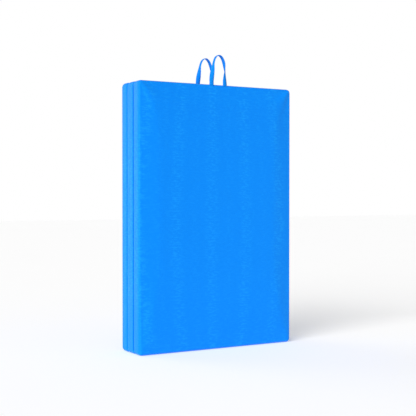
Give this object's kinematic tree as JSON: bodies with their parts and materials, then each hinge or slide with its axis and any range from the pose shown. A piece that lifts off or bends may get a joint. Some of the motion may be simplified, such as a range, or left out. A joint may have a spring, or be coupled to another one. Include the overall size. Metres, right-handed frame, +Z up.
{
  "type": "folding gym mat",
  "caption": "Tri-fold padded gym mat, folded into a stack and standing on edge, with zipped covers and two webbing carry loops on top.",
  "frame": {"origin": "on the floor, under the middle of the folded stack", "axes": "+Z up along the panels' height, +X along their width, +Y from the front panel to the rear one"},
  "size_m": [0.6132, 0.1468, 1.018],
  "materials": {
    "cover": "bright blue coated fabric, fine embossed grain, satin",
    "foam": "closed-cell expanded foam, matte",
    "webbing": "woven flat webbing",
    "fold_strip": "coated fabric, fine embossed grain",
    "zip_tape": "woven tape",
    "zip_coil": "nylon coil",
    "zip_metal": "painted zinc"
  },
  "bodies": {
    "middle_panel": {"middle_foam_front_layer": "foam", "middle_foam_rear_layer": "foam", "middle_cover_front": "cover", "middle_cover_rear": "cover", "middle_gusset_left": "cover", "middle_gusset_right": "cover", "middle_gusset_top": "cover", "middle_zip_lip_front": "cover", "middle_zip_lip_rear": "cover", "middle_zip_tape_front": "zip_tape", "middle_zip_tape_rear": "zip_tape", "middle_zip_coil_front": "zip_coil", "middle_zip_coil_rear": "zip_coil", "middle_zip_stops": "zip_metal", "left_fold_strip": "fold_strip", "right_fold_strip": "fold_strip"},
    "middle_slider": {"middle_zip_slider": "zip_metal"},
    "middle_pull": {"middle_zip_pull": "zip_metal"},
    "front_panel": {"front_foam_front_layer": "foam", "front_foam_rear_layer": "foam", "front_cover_front": "cover", "front_cover_rear": "cover", "front_gusset_left": "cover", "front_gusset_right": "cover", "front_gusset_top": "cover", "front_zip_lip_front": "cover", "front_zip_lip_rear": "cover", "front_zip_tape_front": "zip_tape", "front_zip_tape_rear": "zip_tape", "front_zip_coil_front": "zip_coil", "front_zip_coil_rear": "zip_coil", "front_zip_stops": "zip_metal", "front_handle_tails": "webbing"},
    "front_slider": {"front_zip_slider": "zip_metal"},
    "front_pull": {"front_zip_pull": "zip_metal"},
    "front_handle_loop": {"front_handle": "webbing"},
    "rear_panel": {"rear_foam_front_layer": "foam", "rear_foam_rear_layer": "foam", "rear_cover_front": "cover", "rear_cover_rear": "cover", "rear_gusset_left": "cover", "rear_gusset_right": "cover", "rear_gusset_top": "cover", "rear_zip_lip_front": "cover", "rear_zip_lip_rear": "cover", "rear_zip_tape_front": "zip_tape", "rear_zip_tape_rear": "zip_tape", "rear_zip_coil_front": "zip_coil", "rear_zip_coil_rear": "zip_coil", "rear_zip_stops": "zip_metal", "rear_handle_tails": "webbing"},
    "rear_slider": {"rear_zip_slider": "zip_metal"},
    "rear_pull": {"rear_zip_pull": "zip_metal"},
    "rear_handle_loop": {"rear_handle": "webbing"}
  },
  "joints": [
    {"name": "front_fold", "type": "hinge", "parent": "middle_panel", "child": "front_panel", "pos_m": [-0.306, -0.0237, 0], "axis": [0, 0, -1], "range_deg": [0, 180], "deforming": ["left_fold_strip"]},
    {"name": "rear_fold", "type": "hinge", "parent": "middle_panel", "child": "rear_panel", "pos_m": [0.306, 0.0237, 0], "axis": [0, 0, -1], "range_deg": [0, 180], "deforming": ["right_fold_strip"]},
    {"name": "front_handle_lean", "type": "hinge", "parent": "front_panel", "child": "front_handle_loop", "pos_m": [0, -0.06832, 0.91292], "axis": [1, 0, 0], "range_deg": [-20, 140], "stiffness_Nm_per_rad": 0.05},
    {"name": "rear_handle_lean", "type": "hinge", "parent": "rear_panel", "child": "rear_handle_loop", "pos_m": [0, 0.02648, 0.91292], "axis": [1, 0, 0], "range_deg": [-45, 20], "stiffness_Nm_per_rad": 0.05},
    {"name": "middle_zip_slide", "type": "slide", "parent": "middle_panel", "child": "middle_slider", "axis": [1, 0, 0], "range_m": [-0.532, 0]},
    {"name": "middle_pull_swing", "type": "hinge", "parent": "middle_slider", "child": "middle_pull", "pos_m": [0.268, 0, 0.001], "axis": [0, 1, 0], "range_deg": [0, 150]},
    {"name": "front_zip_slide", "type": "slide", "parent": "front_panel", "child": "front_slider", "axis": [1, 0, 0], "range_m": [-0.532, 0]},
    {"name": "front_pull_swing", "type": "hinge", "parent": "front_slider", "child": "front_pull", "pos_m": [0.268, -0.0474, 0.001], "axis": [0, 1, 0], "range_deg": [0, 150]},
    {"name": "rear_zip_slide", "type": "slide", "parent": "rear_panel", "child": "rear_slider", "axis": [1, 0, 0], "range_m": [-0.532, 0]},
    {"name": "rear_pull_swing", "type": "hinge", "parent": "rear_slider", "child": "rear_pull", "pos_m": [0.268, 0.0474, 0.001], "axis": [0, 1, 0], "range_deg": [0, 150]}
  ]
}
